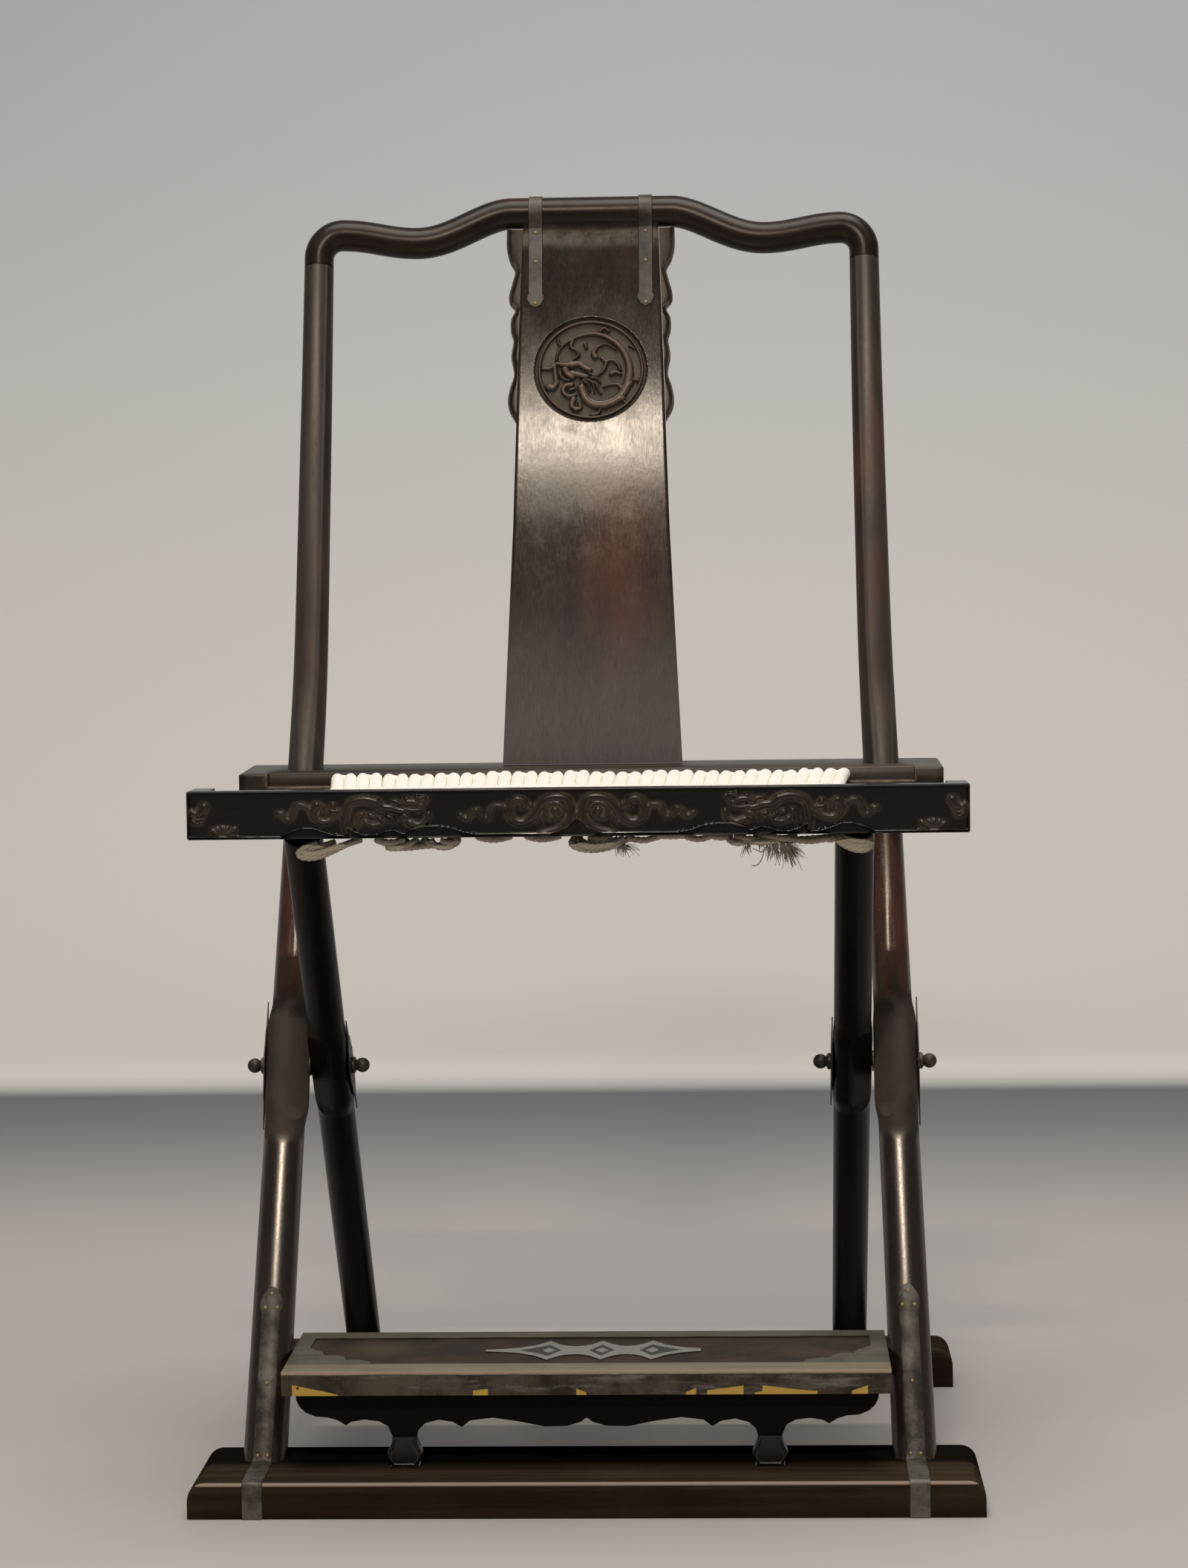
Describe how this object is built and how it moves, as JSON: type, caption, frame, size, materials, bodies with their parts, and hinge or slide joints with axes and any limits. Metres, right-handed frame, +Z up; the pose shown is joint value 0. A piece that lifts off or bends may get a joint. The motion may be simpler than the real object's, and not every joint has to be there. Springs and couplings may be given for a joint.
{
  "type": "straight back folding chair",
  "caption": "Straight-backed folding chair of dark wood: crossed legs on floor rails, seat of laced cord, splat under a serpentine crest rail, and a hinged metal-clad footrest.",
  "frame": {"origin": "on the floor, in the middle of the rectangle that the floor rails stand in", "axes": "+Z up, -Y to the front, where the footrest is, and +X to the right of someone who faces the chair"},
  "size_m": [0.6, 0.4913, 1.0274],
  "materials": {
    "dark_wood": "worn satin polish",
    "brown_wood": "worn satin polish",
    "panel_wood": "dull, foot-worn",
    "tarnished_metal": "tarnished sheet",
    "dark_bronze": "dark, aged",
    "pewter_inlay": "dull grey",
    "cotton_cord": "twisted cotton"
  },
  "bodies": {
    "back_frame": {"front_floor_rail": "dark_wood", "back_post_left": "brown_wood", "back_post_right": "brown_wood", "rear_seat_rail": "dark_wood", "crest_rail": "dark_wood", "splat": "brown_wood", "side_strip_left": "dark_wood", "side_strip_right": "dark_wood", "crest_strap_left": "tarnished_metal", "crest_strap_right": "tarnished_metal", "leg_strap_left": "tarnished_metal", "leg_strap_right": "tarnished_metal", "pivot_plate_outer_left": "dark_bronze", "pivot_plate_outer_right": "dark_bronze", "pivot_bolt_left": "dark_bronze", "pivot_bolt_right": "dark_bronze", "pivot_washer_left": "dark_bronze", "pivot_washer_right": "dark_bronze", "footrest_pin_left": "dark_bronze", "footrest_pin_right": "dark_bronze", "seat_cord": "cotton_cord"},
    "front_frame": {"front_seat_rail": "dark_wood", "front_leg_left": "dark_wood", "front_leg_right": "dark_wood", "rear_floor_rail": "dark_wood", "pivot_plate_inner_left": "dark_bronze", "pivot_plate_inner_right": "dark_bronze", "pivot_nut_left": "dark_bronze", "pivot_nut_right": "dark_bronze", "seat_cord_lacing": "cotton_cord"},
    "footrest": {"footrest_board": "panel_wood", "footrest_cladding": "tarnished_metal", "footrest_inlay": "pewter_inlay", "footrest_apron": "dark_wood", "footrest_foot_left": "dark_wood", "footrest_foot_right": "dark_wood"}
  },
  "joints": [
    {"name": "fold", "type": "hinge", "parent": "back_frame", "child": "front_frame", "pos_m": [0, -0.03231, 0.31408], "axis": [-1, 0, 0], "range_deg": [0, 46], "deforming": ["seat_cord"]},
    {"name": "footrest_tilt", "type": "hinge", "parent": "back_frame", "child": "footrest", "pos_m": [0, -0.13402, 0.0944], "axis": [-1, 0, 0], "range_deg": [0, 64]}
  ]
}
